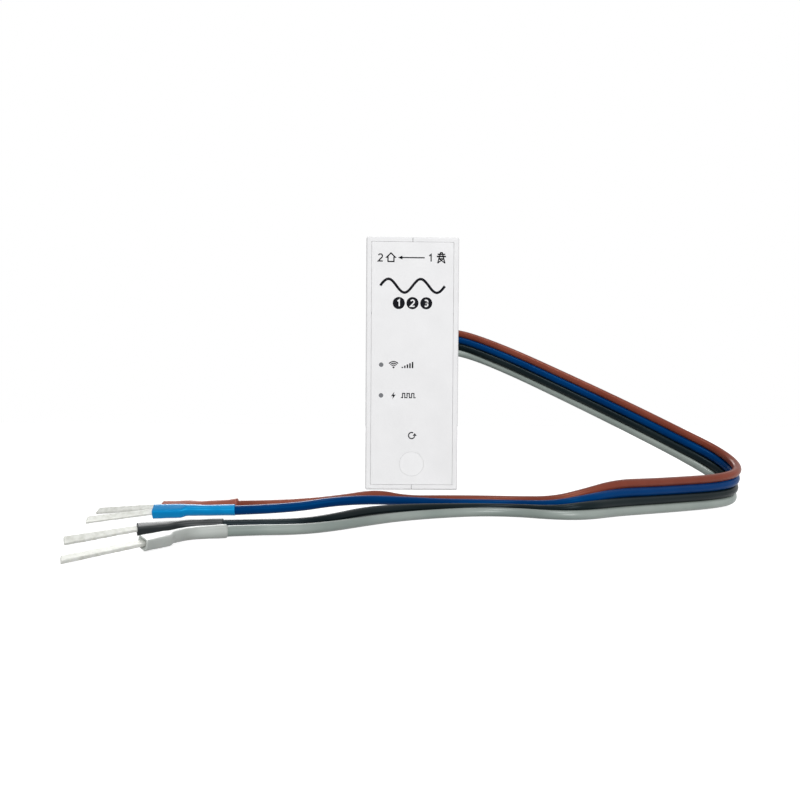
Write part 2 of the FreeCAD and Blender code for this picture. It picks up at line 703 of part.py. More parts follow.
def sleeve_solid(bend, length):
    """A shrunk sleeve: round over the wire and round its bend, then oval over the pin."""
    radius, wide, thick = val("sleeve_radius"), val("sleeve_wide"), val("sleeve_thick")
    knee, taper = val("wire_in_sleeve") + val("sleeve_knee"), val("sleeve_taper")
    path = rounded_path([V(0, 0, 0), V(knee, 0, 0), bend.multVec(V(taper, 0, 0))])[0]
    ring = Part.Wire([Part.Circle(V(0, 0, 0), V(1, 0, 0), radius).toShape()])
    flattened = ring_at(2 * taper, wide, thick)
    oval = Part.makeLoft([ring_at(taper, radius, radius), flattened], True, True)
    oval = oval.fuse(Part.makeLoft([flattened, ring_at(length, wide, thick)], True, True))
    pocket = pin_bar(length - val("pin_in_sleeve"), length)
    oval.Placement = bend
    pocket.Placement = bend
    bore = Part.makeCylinder(val("wire_diameter") / 2, val("wire_in_sleeve"), V(0, 0, 0), V(1, 0, 0))
    return path.makePipeShell([ring], True, False).fuse(oval).cut([bore, pocket])


def pin_solid(length, tip):
    """A flat pin from inside the sleeve along X, then straight to its tip."""
    elbow = V(length + val("pin_elbow"), 0, 0)
    shank = pin_bar(length - val("pin_in_sleeve"), elbow.x + val("pin_overlap"))
    blade = pin_bar(0, (tip - elbow).Length)
    blade.Placement = FreeCAD.Placement(elbow, turned_along(tip - elbow, 0))
    return shank.fuse(blade)


def add_shape(label, shape, placement=None):
    piece = doc.addObject("Part::Feature", label)
    piece.Label = label
    piece.Shape = shape
    if placement:
        piece.Placement = placement
    nodes[label] = piece


for name in WIRES:
    add_shape("wire_" + name, wire_solid(name))
    sleeve_end, tip, lean = ENDS[name]
    before, last = wire_route(name)[-2:]
    along = (last - before).normalize()
    mouth = FreeCAD.Placement(last - along * val("wire_in_sleeve"), turned_along(along, lean))
    knee = last + along * val("sleeve_knee")
    bend = FreeCAD.Placement(knee, turned_along(V(*sleeve_end) - knee, lean))
    length = (V(*sleeve_end) - knee).Length
    add_shape("sleeve_" + name, sleeve_solid(mouth.inverse().multiply(bend), length), mouth)
    add_shape("pin_" + name, pin_solid(length, bend.inverse().multVec(V(*tip))), bend)
doc.recompute()

# Nothing is written unless every object is sound
for obj in doc.Objects:
    assert not [s for s in obj.State if s in ("Invalid", "Error")], (obj.Name, obj.State)
for name, obj in nodes.items():
    shape = obj.Shape
    assert not shape.isNull() and shape.isValid() and shape.Volume > 0, name
    assert len(shape.Solids) == 1, (name, len(shape.Solids))
for name, obj in nodes.items():
    obj.Shape.exportStep("parts/%s.step" % name)
print("nodes", len(nodes))
for name, obj in sorted(nodes.items()):
    b = obj.Shape.BoundBox
    print("%-24s %9.1f mm3  x %.2f %.2f  y %.2f %.2f  z %.2f %.2f"
          % (name, obj.Shape.Volume, b.XMin, b.XMax, b.YMin, b.YMax, b.ZMin, b.ZMax))
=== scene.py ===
import json
import math

import bmesh
import bpy
from mathutils import Matrix, Vector, noise


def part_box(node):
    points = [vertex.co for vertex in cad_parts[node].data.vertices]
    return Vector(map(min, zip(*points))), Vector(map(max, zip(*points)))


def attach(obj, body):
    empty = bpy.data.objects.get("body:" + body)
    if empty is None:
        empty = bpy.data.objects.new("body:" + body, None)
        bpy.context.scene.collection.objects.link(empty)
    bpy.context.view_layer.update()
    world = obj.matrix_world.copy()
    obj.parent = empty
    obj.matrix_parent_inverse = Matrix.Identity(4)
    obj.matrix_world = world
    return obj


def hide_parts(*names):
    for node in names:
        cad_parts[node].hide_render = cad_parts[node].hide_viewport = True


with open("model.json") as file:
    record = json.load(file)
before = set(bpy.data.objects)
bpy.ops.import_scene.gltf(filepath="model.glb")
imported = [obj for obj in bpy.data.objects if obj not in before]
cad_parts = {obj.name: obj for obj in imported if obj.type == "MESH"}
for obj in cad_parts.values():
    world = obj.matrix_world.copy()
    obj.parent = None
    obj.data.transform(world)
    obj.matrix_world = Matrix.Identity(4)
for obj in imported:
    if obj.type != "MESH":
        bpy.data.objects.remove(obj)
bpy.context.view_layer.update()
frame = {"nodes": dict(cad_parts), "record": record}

MM = 0.001
METER = "meter"


def add_object(name, data):
    """A new object of the scene with this mesh, curve, lamp or camera."""
    obj = bpy.data.objects.new(name, data)
    bpy.context.scene.collection.objects.link(obj)
    return obj


# Camera

# The photograph's viewing point in metres, its turn, tilt and roll in radians, its lens and sensor in
# mm and its shift, and the nearest and farthest distance in metres that the camera sees
EYE = Vector((-9.76, -298.46, 25.56)) * MM
YAW = 0.01973
PITCH = 0.02504
ROLL = 0.00652
LENS = 33.3
SENSOR = 36.0
SHIFT_UP = 0.0499
NEAREST = 0.005
FARTHEST = 20


def add_camera():
    """The camera, on axes built from its turn, its tilt and then its roll."""
    ahead = Vector((math.sin(YAW) * math.cos(PITCH), math.cos(YAW) * math.cos(PITCH), -math.sin(PITCH)))
    right = Vector((math.cos(YAW), -math.sin(YAW), 0))
    up = right.cross(ahead)
    rolled_right = right * math.cos(ROLL) + up * math.sin(ROLL)
    rolled_up = up * math.cos(ROLL) - right * math.sin(ROLL)
    lens = bpy.data.cameras.new("camera")
    lens.lens = LENS
    lens.sensor_width = SENSOR
    lens.shift_y = SHIFT_UP
    lens.clip_start = NEAREST
    lens.clip_end = FARTHEST
    camera = add_object("camera", lens)
    axes = Matrix((rolled_right, rolled_up, -ahead)).transposed()
    camera.matrix_world = Matrix.Translation(EYE) @ axes.to_4x4()
    bpy.context.scene.camera = camera


add_camera()

# Wires

WIRES = ["brown", "blue", "black", "gray"]
WIRE_DIAMETER = 0.0024

# The standing ribbon that the four wires form, in metres: x, y and height of the lowest wire, the
# rise from each wire to the next one up, and how far that one is shifted in x and in y
RIBBON = [
    (0.006, -0.0115, 0.05275, 0.00245, 0, 0), (0.0125, -0.0115, 0.05275, 0.00245, 0, 0),
    (0.0188, -0.0121, 0.05215, 0.00253, 0, 0), (0.027, -0.0156, 0.0489, 0.00262, 0, 0),
    (0.039, -0.0225, 0.043, 0.00268, 0, 0), (0.054, -0.031, 0.0348, 0.00271, 0, 0),
    (0.069, -0.0394, 0.0265, 0.00273, 0, 0), (0.081, -0.0462, 0.0196, 0.00274, 0, 0),
    (0.0892, -0.0508, 0.0146, 0.00272, 0.00015, 0), (0.0955, -0.055, 0.0106, 0.0027, 0.00038, 0),
    (0.09855, -0.0596, 0.0077, 0.00272, 0.00048, 0), (0.0996, -0.0654, 0.005, 0.00276, 0.0005, 0),
    (0.0984, -0.0711, 0.0031, 0.00274, 0.00046, 0), (0.0952, -0.0759, 0.002, 0.00266, 0.00032, 0.0001),
    (0.0879, -0.0805, 0.0015, 0.00252, 0.00015, 0.0003), (0.0775, -0.0861, 0.00138, 0.00246, 0, 0.0006),
    (0.0655, -0.0924, 0.00135, 0.00242, 0, 0.0007),
]

# On its way down the gray wire lies a little behind the black one: at which of the ribbon's points,
# and how far back and up, in metres
GRAY_TUCK = {
    3: (0.0012, 0.00045), 4: (0.0012, 0.00045), 5: (0.0012, 0.00045),
    6: (0.0009, 0.0003), 7: (0.0006, 0.0002), 8: (0.0006, 0.0003),
}

# Where each wire goes once the ribbon opens, in metres; its last run lies in its sleeve
LOOSE = {
    "brown": [
        (0.054, -0.0954, 0.00865), (0.044, -0.0985, 0.0062), (0.0362, -0.0979, 0.0043),
        (0.0276, -0.0933, 0.00375), (0.0169, -0.092, 0.0038), (0.0065, -0.0948, 0.0041),
        (-0.0042, -0.099, 0.0044), (-0.012, -0.1016, 0.0063), (-0.022, -0.105, 0.005),
        (-0.0317, -0.1069, 0.0042), (-0.0433, -0.1075, 0.0038), (-0.054, -0.1069, 0.0036),
    ],
    "blue": [
        (0.0538, -0.0967, 0.00625), (0.0435, -0.1023, 0.005), (0.0356, -0.101, 0.00345),
        (0.0272, -0.0957, 0.00295), (0.0165, -0.0945, 0.003), (0.0062, -0.0974, 0.0034),
        (-0.004, -0.102, 0.0044), (-0.014, -0.1075, 0.0053), (-0.0232, -0.111, 0.0051),
        (-0.0312, -0.1117, 0.00385), (-0.0431, -0.1122, 0.00305), (-0.0538, -0.1127, 0.0028),
    ],
    "black": [
        (0.0538, -0.0979, 0.0038), (0.0432, -0.1049, 0.0035), (0.0355, -0.1043, 0.00245),
        (0.027, -0.0981, 0.0021), (0.0164, -0.0969, 0.00215), (0.0063, -0.1002, 0.00245),
        (-0.0059, -0.1071, 0.003), (-0.0147, -0.1158, 0.00325), (-0.0223, -0.125, 0.0026),
        (-0.0291, -0.1296, 0.0021), (-0.0417, -0.1313, 0.0021), (-0.0524, -0.1332, 0.0021),
    ],
    "gray": [
        (0.0536, -0.0984, 0.00135), (0.0432, -0.1064, 0.00135), (0.0347, -0.1065, 0.0013),
        (0.0259, -0.1004, 0.00125), (0.0162, -0.0992, 0.00125), (0.0061, -0.1027, 0.00125),
        (-0.0059, -0.1098, 0.00125), (-0.0146, -0.1191, 0.00125), (-0.0219, -0.1279, 0.00125),
        (-0.0289, -0.1332, 0.00125), (-0.0404, -0.137, 0.00165), (-0.0498, -0.1415, 0.0017),
    ],
}

# The wires press on each other in the ribbon, and are drawn a little thicker there to close up: at its
# points on the way out from the housing, and more at those round the bend and back in front
OUT_SWELL = 1.075
OUT_POINTS = range(2, 7)
BEND_SWELL = 1.08
BEND_POINTS = range(7, 19)

# With this bevel, the radius of a point is the wire's own radius in metres; and how finely Blender
# divides the curve between two points and its bevel round the wire
WHOLE_RADIUS = 1.0
CURVE_FINENESS = 10
BEVEL_FINENESS = 7


def wire_route(name):
    """All the points of one wire: the ribbon's, at this wire's level, then its own."""
    rank = len(WIRES) - 1 - WIRES.index(name)
    ribbon = []
    for x, y, low, rise, aside, back in RIBBON:
        ribbon.append(Vector((x + rank * aside, y + rank * back, low + rank * rise)))
    if name == "gray":
        for place, (back, up) in GRAY_TUCK.items():
            ribbon[place] += Vector((0, back, up))
    return ribbon + [Vector(point) for point in LOOSE[name]]


def wire_curve(name):
    """One wire on a smooth spline through its route's bends."""
    data = bpy.data.curves.new("cord_" + name, "CURVE")
    data.dimensions = "3D"
    points = wire_route(name)
    spline = data.splines.new("NURBS")
    spline.points.add(len(points) - 1)
    for control, point in zip(spline.points, points):
        control.co = (*point, 1)
        control.radius = WIRE_DIAMETER / 2
    for n in OUT_POINTS:
        spline.points[n].radius *= OUT_SWELL
    for n in BEND_POINTS:
        spline.points[n].radius *= BEND_SWELL
    spline.order_u = 3
    spline.use_endpoint_u = True
    data.resolution_u = CURVE_FINENESS
    data.bevel_depth = WHOLE_RADIUS
    data.bevel_resolution = BEVEL_FINENESS
    data.use_fill_caps = True
    piece = add_object("cord_" + name, data)
    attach(piece, METER)
    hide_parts("wire_" + name)
    return piece


cords = {name: wire_curve(name) for name in WIRES}

# Materials

# How a surface varies: the noise of its patches and of its grain, each by its cells per metre and its
# detail; where along the first noise its two tones lie; how far its roughness swings; and the depth of
# its grain in metres with its strength
EVEN = {"patches": (120, 3), "tones": (0.3, 0.7), "grain": (900, 4), "swing": 0.05,
        "bump": (0.00002, 0.5)}
SATIN = {"patches": (60, 5), "tones": (0.35, 0.65), "grain": (1400, 3), "swing": 0.06,
         "bump": (0.000015, 0.4)}
PRESSED = {"patches": (900, 6), "tones": (0.3, 0.6), "grain": (900, 6), "swing": 0.08,
           "bump": (0.00006, 0.6)}
WHITE = (255, 255, 255)


def srgb(levels):
    """A linear colour from red, green and blue levels of 0 to 255, by the curve of sRGB."""
    linear = []
    for level in levels:
        share = level / 255
        linear.append(share / 12.92 if share <= 0.04045 else ((share + 0.055) / 1.055) ** 2.4)
    return (*linear, 1.0)


def new_material(name):
    """A node material, with its nodes, its links and its surface shader."""
    mat = bpy.data.materials.new(name)
    mat.use_nodes = True
    nodes = mat.node_tree.nodes
    return mat, nodes, mat.node_tree.links, nodes["Principled BSDF"]


def add_noise(nodes, links, scale, detail):
    """Noise over the object's own coordinates; returns its value socket."""
    coords = nodes.new("ShaderNodeTexCoord")
    texture = nodes.new("ShaderNodeTexNoise")
    texture.inputs["Scale"].default_value = scale
    texture.inputs["Detail"].default_value = detail
    links.new(coords.outputs["Object"], texture.inputs["Vector"])
    return texture.outputs["Fac"]


def add_tones(nodes, links, value, places, colours):
    """Two colours that meet softly between two places of a value; returns the colour socket."""
    ramp = nodes.new("ShaderNodeValToRGB")
    for stop, place, colour in zip(ramp.color_ramp.elements, places, colours):
        stop.position = place
        stop.color = colour
    links.new(value, ramp.inputs["Fac"])
    return ramp.outputs["Color"]


def add_bump(nodes, links, shader, height, depth, strength):
    """A height given to a shader as bumps of this depth in metres."""
    bump = nodes.new("ShaderNodeBump")
    bump.inputs["Distance"].default_value = depth
    bump.inputs["Strength"].default_value = strength
    links.new(height, bump.inputs["Height"])
    links.new(bump.outputs["Normal"], shader.inputs["Normal"])


def add_range(nodes, links, value, low, high):
    """A value mapped from 0..1 to low..high; returns its socket."""
    remap = nodes.new("ShaderNodeMapRange")
    remap.inputs["To Min"].default_value = low
    remap.inputs["To Max"].default_value = high
    links.new(value, remap.inputs["Value"])
    return remap.outputs["Result"]


def surface(name, finish, dark, light, rough, metal=0.0, shine=0.5, gloss=WHITE):
    """A material with patches of two close tones, uneven gloss in its own tint, and a fine grain."""
    mat, nodes, links, shader = new_material(name)
    patches = add_noise(nodes, links, *finish["patches"])
    tone = add_tones(nodes, links, patches, finish["tones"], (srgb(dark), srgb(light)))
    links.new(tone, shader.inputs["Base Color"])
    grain = add_noise(nodes, links, *finish["grain"])
    uneven = add_range(nodes, links, grain, rough - finish["swing"], rough + finish["swing"])
    links.new(uneven, shader.inputs["Roughness"])
    add_bump(nodes, links, shader, grain, *finish["bump"])
    shader.inputs["Metallic"].default_value = metal
    shader.inputs["Specular IOR Level"].default_value = shine
    shader.inputs["Specular Tint"].default_value = srgb(gloss)
    return mat


MATERIALS = {
    "casing": surface("casing_plastic", EVEN, (231, 231, 232), (235, 235, 236), 0.62, shine=0.25),
    "front_plate": surface("plate_plastic", EVEN, (232, 232, 233), (236, 236, 237), 0.6, shine=0.25),
    "button": surface("button_plastic", EVEN, (234, 234, 235), (238, 238, 239), 0.55, shine=0.3),
    "light_guide": surface("guide_plastic", EVEN, (92, 94, 98), (114, 116, 120), 0.35, shine=0.3),
    "lamp_body": surface("lamp_resin", EVEN, (225, 222, 190), (240, 238, 215), 0.2),
    "circuit_board": surface("solder_mask", EVEN, (22, 84, 44), (34, 110, 60), 0.35),
    "shield_can": surface("shield_tin", EVEN, (176, 178, 180), (200, 201, 203), 0.35, metal=0.9),
    "black_plastic": surface("black_moulding", EVEN, (24, 24, 26), (36, 36, 38), 0.5),
    "plunger_plastic": surface("plunger_moulding", EVEN, (38, 38, 40), (52, 52, 55), 0.45),
    "screw_steel": surface("screw_zinc", EVEN, (150, 152, 156), (190, 190, 194), 0.35, metal=0.9),
    "transformer_tape": surface("yellow_tape", EVEN, (206, 178, 40), (226, 198, 60), 0.4),
    "capacitor_can": surface("capacitor_sleeve", EVEN, (30, 34, 52), (44, 50, 74), 0.3),
    "varistor_coat": surface("varistor_epoxy", EVEN, (30, 80, 150), (44, 100, 172), 0.3),
    "fuse_ceramic": surface("fuse_coat", EVEN, (150, 166, 140), (176, 190, 164), 0.5),
    "comb_plastic": surface("comb_moulding", EVEN, (56, 56, 58), (74, 74, 77), 0.5),
    "core_metal": surface("core_strip", EVEN, (84, 84, 90), (112, 112, 118), 0.4, metal=0.8),
    "coil_copper": surface("coil_enamel", EVEN, (150, 80, 44), (186, 106, 62), 0.3, metal=0.5),
    "pvc_brown": surface("brown_insulation", SATIN, (110, 50, 37), (128, 66, 52), 0.34, shine=0.22,
                         gloss=(255, 190, 160)),
    "pvc_blue": surface("blue_insulation", SATIN, (0, 42, 92), (0, 54, 108), 0.34, shine=0.12,
                        gloss=(40, 170, 255)),
    "pvc_black": surface("black_insulation", SATIN, (4, 14, 16), (16, 26, 28), 0.34, shine=0.22,
                         gloss=(150, 165, 175)),
    "pvc_gray": surface("gray_insulation", SATIN, (126, 137, 132), (144, 153, 148), 0.34, shine=0.45),
    "shrink_brown": surface("brown_sleeve", SATIN, (140, 74, 60), (158, 90, 76), 0.4, shine=0.4,
                            gloss=(255, 190, 170)),
    "shrink_blue": surface("blue_sleeve", SATIN, (2, 118, 180), (10, 134, 197), 0.32, shine=0.5,
                           gloss=(80, 220, 255)),
    "shrink_black": surface("black_sleeve", SATIN, (14, 20, 22), (25, 31, 33), 0.36, shine=0.22),
    "shrink_gray": surface("gray_sleeve", SATIN, (166, 171, 167), (182, 187, 183), 0.36, shine=0.5),
    "tinned_copper": surface("tinned_pins", PRESSED, (196, 197, 190), (216, 217, 212), 0.58, metal=0.25,
                             shine=0.25),
    "ink": surface("printing_ink", EVEN, (14, 15, 20), (24, 25, 30), 0.8, shine=0.08),
}


def dress(obj, slot, look=None):
    """Gives an object the material of its slot, or another look."""
    obj.data.materials.clear()
    obj.data.materials.append(MATERIALS[look or slot])


# Lofted forms


def mesh_object(name, bm):
    """An object with the mesh that was built, which is then freed."""
    data = bpy.data.meshes.new(name)
    bm.to_mesh(data)
    bm.free()
    return add_object(name, data)


def loft(name, rings, smooth):
    """A closed mesh through rings of points."""
    bm = bmesh.new()
    loops = [[bm.verts.new(point) for point in ring] for ring in rings]
    count = len(loops[0])
    for here, there in zip(loops, loops[1:]):
        for n in range(count):
            after = (n + 1) % count
            bm.faces.new((here[n], here[after], there[after], there[n]))
    bm.faces.new(list(reversed(loops[0])))
    bm.faces.new(loops[-1])
    bmesh.ops.recalc_face_normals(bm, faces=bm.faces)
    obj = mesh_object(name, bm)
    for polygon in obj.data.polygons:
        polygon.use_smooth = smooth
    return obj


def squircle(angle, wide, high, power):
    """A point on a rounded oval; power 2 is an ellipse, more is squarer."""
    cosine, sine = math.cos(angle), math.sin(angle)
    across = math.copysign(abs(cosine) ** (2 / power), cosine) * wide
    up = math.copysign(abs(sine) ** (2 / power), sine) * high
    return across, up


def blend_stations(stations, x):
    """Section values at x, eased between the two nearest stations."""
    for (x0, *low), (x1, *high) in zip(stations, stations[1:]):
        if x <= x1:
            share = max(0, (x - x0) / (x1 - x0))
            eased = share * share * (3 - 2 * share)
            return [start + (end - start) * eased for start, end in zip(low, high)]
    return stations[-1][1:]


def noise_start(name, step, y, z):
    """Where in the noise the sleeve or pin of a wire starts, so that no two are alike."""
    return Vector((WIRES.index(name) * step, y, z))


# Ends of the wires

# Where each sleeve ends and the tip of its pin, in metres; how far their flat sections lean to the
# front in degrees; the slants at which the sleeve's end and the pin's tip are cut; and how far the pin
# twists on to its tip in degrees
ENDS = {
    "brown": {"sleeve_end": (-0.0673, -0.1065, 0.0031), "pin_tip": (-0.0857, -0.1012, 0.0013),
              "lean": 28, "sleeve_slant": 0.2, "pin_slant": 0.25, "twist": 12},
    "blue": {"sleeve_end": (-0.0674, -0.1135, 0.0026), "pin_tip": (-0.082, -0.118, 0.00115),
             "lean": 29, "sleeve_slant": 0.0, "pin_slant": 0.3, "twist": 12},
    "black": {"sleeve_end": (-0.0632, -0.1384, 0.002), "pin_tip": (-0.0741, -0.1491, 0.00115),
              "lean": 20, "sleeve_slant": 0.1, "pin_slant": 0.25, "twist": 22},
    "gray": {"sleeve_end": (-0.0566, -0.1552, 0.00175), "pin_tip": (-0.0659, -0.1695, 0.00115),
             "lean": 14, "sleeve_slant": 0.45, "pin_slant": 0.6, "twist": 6},
}

# How far a sleeve goes on to its wire, how far its knee is from its mouth, and half the length over
# which the knee bends, in metres
WIRE_IN_SLEEVE = 0.0065
KNEE = 0.008
KNEE_EASE = 0.0025

# Sections of each sleeve in mm: place from its mouth, half width, half thickness, squareness, and how
# far the section is lifted
SLEEVES = {
    "brown": [(0, 1.3, 1.3, 2, 0), (0.35, 1.78, 1.78, 2, 0), (2.8, 1.42, 1.42, 2, 0),
              (6.2, 1.3, 1.26, 2, 0), (9.5, 1.25, 1.05, 2.4, 0), (13, 1.5, 1.14, 3.6, 0),
              (20, 1.5, 1.14, 4, 0)],
    "blue": [(0, 1.4, 1.4, 2, 0.14), (6, 1.36, 1.36, 2, 0.22), (11.6, 1.38, 1.38, 2.2, 0.4),
             (13.6, 1.72, 1.3, 4, 0.2), (20.5, 1.72, 1.3, 4.5, 0.12)],
    "black": [(0, 1.46, 1.46, 2, 0), (6, 1.36, 1.36, 2, 0), (10, 1.32, 1.18, 2.4, 0),
              (13, 1.5, 1.02, 3.6, -0.03), (19.5, 1.52, 1.02, 4.5, -0.06)],
    "gray": [(0, 1.5, 1.5, 2, 0), (5.5, 1.44, 1.42, 2, 0), (13.8, 1.45, 1.34, 2.2, 0),
             (15.4, 1.72, 1.2, 5, -0.12), (22.5, 1.7, 1.14, 6, -0.04)],
}
SLEEVE_POINTS = 48
SLEEVE_RINGS = 64

# The sleeve's wall in mm, the share of it at which an edge has its crest, and how far in mm from the
# mouth and from the end the edge's rounding goes
SLEEVE_WALL = 0.24
EDGE_CREST = 0.4
MOUTH_ROUND = 0.06
END_ROUND = 0.08

# How deep the rings inside the mouth lie, in mm
MOUTH_RINGS = (1.4, 0.84, 0.35, 0.02)

# The flat end is an open lip: inside it the sleeve closes round its pin over this depth, in this many
# steps, down to this much room, in mm
CLOSING_DEPTH = 0.7
CLOSING_STEPS = 4
PIN_ROOM = 0.06

# The ripple of a sleeve: its waves per mm along and across, its height in mm and its start in the noise
RIPPLE_ALONG = 0.35
RIPPLE_ACROSS = 0.5
RIPPLE_HEIGHT = 0.06
RIPPLE_START = (7.3, 2.1, 0.4)

# A slanted cut pulls the sections before it along, less and less: the power with which the pull grows
SLEEVE_PULL = 4
PIN_PULL = 3

# Pins in mm: half width, half thickness and squareness of the section, how far the shank goes in and
# out of its sleeve and how far before the elbow its rings stop, and the tip's bevel with its size there
PIN_WIDE = 0.95
PIN_THICK = 0.36
PIN_SQUARENESS = 7
SHANK_IN = 4.0
SHANK_OUT = 0.7
ELBOW_ROOM = 0.5
TIP_BEVEL = 0.1
TIP_SIZE = 0.82
PIN_POINTS = 28
SHANK_RINGS = 5
BLADE_RINGS = 36

# The dents of a pin: their waves per metre along it and per mm across and through it, the share that
# they take of its width and of its thickness, and their start in the noise
DENTS_ALONG = 700
DENTS_ACROSS = 1.6
DENTS_THROUGH = 2
DENT_WIDTH = 0.05
DENT_THICKNESS = 0.14
DENT_START = (5.1, 0.7, 3.3)


def turned_along(origin, direction, lean):
    """A frame at origin with X along direction and Z up, then leaned to the front by degrees."""
    along = direction.normalized()
    up = (Vector((0, 0, 1)) - along * along.z).normalized()
    up = Matrix.Rotation(math.radians(-lean), 3, along) @ up
    side = up.cross(along)
    return Matrix.Translation(origin) @ Matrix((along, side, up)).transposed().to_4x4()


def sleeve_frames(name):
    """Frames at a sleeve's mouth and at its knee, and the length from the knee to its end."""
    end = ENDS[name]
    before, last = wire_route(name)[-2:]
    along = (last - before).normalized()
    mouth = turned_along(last - along * WIRE_IN_SLEEVE, along, end["lean"])
    knee = mouth @ Vector((KNEE, 0, 0))
    reach = Vector(end["sleeve_end"]) - knee
    return mouth, turned_along(knee, reach, end["lean"]), reach.length


def frame_along(mouth, bend, x):
    """The frame at x from a sleeve's mouth, turning softly round its knee."""
    share = (x - KNEE + KNEE_EASE) / (2 * KNEE_EASE)
    if share <= 0:
        return mouth @ Matrix.Translation((x, 0, 0))
    if share >= 1:
        return bend @ Matrix.Translation((x - KNEE, 0, 0))
    before = mouth @ Vector((KNEE - KNEE_EASE, 0, 0))
    after = bend @ Vector((KNEE_EASE, 0, 0))
    rest = 1 - share
    spot = before * rest ** 2 + bend.translation * 2 * share * rest + after * share ** 2
    turn = mouth.to_quaternion().slerp(bend.to_quaternion(), share)
    return Matrix.Translation(spot) @ turn.to_matrix().to_4x4()


def sleeve_mesh(name):
    """A shrunk sleeve: round over the wire, pressed flat over the pin, and open at both ends."""
    mouth, bend, reach = sleeve_frames(name)
    length = (KNEE + reach) / MM
    slant = ENDS[name]["sleeve_slant"]
    start = noise_start(name, *RIPPLE_START)
    rings = []

    def ring(x, shrink, closed=0.0):
        """A ring x mm from the mouth, shrunk by so many mm and closed round the pin by a share."""
        wide, thick, power, lift = blend_stations(SLEEVES[name], x)
        wide += (PIN_WIDE + PIN_ROOM + shrink - wide) * closed
        thick += (PIN_THICK + PIN_ROOM + shrink - thick) * closed
        lift *= 1 - closed
        place = frame_along(mouth, bend, x * MM)
        skew = slant * (x / length) ** SLEEVE_PULL
        points = []
        for n in range(SLEEVE_POINTS):
            y, z = squircle(2 * math.pi * n / SLEEVE_POINTS, wide - shrink, thick - shrink, power)
            spot = Vector((x * RIPPLE_ALONG, y * RIPPLE_ACROSS, z * RIPPLE_ACROSS))
            ripple = noise.noise(spot + start) * RIPPLE_HEIGHT
            scale = 1 + ripple / max(wide, thick)
            points.append(place @ (Vector((skew * y, y * scale, z * scale + lift)) * MM))
        rings.append(points)

    for depth in MOUTH_RINGS:
        ring(depth, SLEEVE_WALL)
    ring(0.0, SLEEVE_WALL * EDGE_CREST)
    ring(MOUTH_ROUND, 0.0)
    for step in range(1, SLEEVE_RINGS):
        ring(length * step / SLEEVE_RINGS, 0.0)
    ring(length - END_ROUND, 0.0)
    ring(length, SLEEVE_WALL * EDGE_CREST)
    for step in range(CLOSING_STEPS + 1):
        closed = step / CLOSING_STEPS
        ring(length - CLOSING_DEPTH * closed, SLEEVE_WALL, closed)
    piece = loft("sleeve_form_" + name, rings, smooth=True)
    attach(piece, METER)
    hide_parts("sleeve_" + name)
    dress(piece, "shrink_" + name)
    return piece


def pin_mesh(name):
    """A tinned pin pressed to a flat bar, bent once where it leaves its sleeve and cut at a slant."""
    bend, reach = sleeve_frames(name)[1:]
    end = ENDS[name]
    tip = bend.inverted() @ Vector(end["pin_tip"])
    elbow = Vector((reach + SHANK_OUT * MM, 0, 0))
    blade = bend @ turned_along(elbow, tip - elbow, 0)
    out = (tip - elbow).length
    start = noise_start(name, *DENT_START)
    rings = []

    def ring(place, along, size=1.0, skew=0.0):
        """A dented ring in the plane of a frame, of this size and slant; along is for the noise."""
        points = []
        for n in range(PIN_POINTS):
            angle = 2 * math.pi * (n + 0.5) / PIN_POINTS
            y, z = squircle(angle, PIN_WIDE * size, PIN_THICK * size, PIN_SQUARENESS)
            spot = Vector((along * DENTS_ALONG, y * DENTS_ACROSS, z * DENTS_THROUGH))
            wave = noise.noise(spot + start)
            dented = Vector((skew * y, y * (1 + wave * DENT_WIDTH), z * (1 + wave * DENT_THICKNESS)))
            points.append(place @ (dented * MM))
        rings.append(points)

    for step in range(SHANK_RINGS):
        share = step / (SHANK_RINGS - 1)
        x = reach - SHANK_IN * MM + (SHANK_IN + SHANK_OUT - ELBOW_ROOM) * MM * share
        ring(bend @ Matrix.Translation((x, 0, 0)), x)
    for step in range(1, BLADE_RINGS + 1):
        share = step / BLADE_RINGS
        turn = Matrix.Rotation(math.radians(-end["twist"] * share), 4, "X")
        place = blade @ Matrix.Translation((out * share, 0, 0)) @ turn
        ring(place, reach + out * share, skew=end["pin_slant"] * share ** PIN_PULL)
    ring(place @ Matrix.Translation((TIP_BEVEL * MM, 0, 0)), reach + out, TIP_SIZE, end["pin_slant"])
    piece = loft("pin_form_" + name, rings, smooth=False)
    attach(piece, METER)
    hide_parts("pin_" + name)
    dress(piece, "tinned_copper")
    return piece


for name in WIRES:
    dress(cords[name], "pvc_" + name)
    parts = [sleeve_mesh(name), pin_mesh(name)]

# Solids that stay as they are

REPLACED = {kind + "_" + name for kind in ("wire", "sleeve", "pin") for name in WIRES}
SLOTS = {entry["node"]: entry["material_slot"] for entry in frame["record"]["subparts"]}
for node, obj in frame["nodes"].items():
    if node not in REPLACED:
        dress(obj, SLOTS[node])

# Painted shade in the joint between the half shells

# In mm: half the width of the dark strip of painted shade, and how deep in its groove its outer and inner
# sides lie
JOINT_HALF = 0.05
JOINT_OUTER = 0.22
JOINT_INNER = 0.34


def joint_painted_shade():
    """A dark strip of painted shade deep in the joint's groove, round the housing from the plate's top
    edge to its bottom edge.
    """
    (_, front, bottom), (_, back, top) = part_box("case_left")
    plate_low, plate_high = (corner[2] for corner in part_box("front_plate"))
    outer, inner = JOINT_OUTER * MM, JOINT_INNER * MM
    half = JOINT_HALF * MM
    corners = [(front, 1, plate_high, 0), (front, 1, top, -1), (back, -1, top, -1), (back, -1, bottom, 1),
               (front, 1, bottom, 1), (front, 1, plate_low, 0)]
    rings = []
    for y, y_in, z, z_in in corners:
        near = (y + y_in * outer, z + z_in * outer)
        deep = (y + y_in * inner, z + z_in * inner)
        edges = [(-half, near), (half, near), (half, deep), (-half, deep)]
        rings.append([Vector((x, *edge)) for x, edge in edges])
    piece = loft("joint_painted_shade", rings, smooth=False)
    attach(piece, METER)
    # painted shade: the strip is black plastic so that it stands for the shade deep in the joint
    dress(piece, "black_plastic")


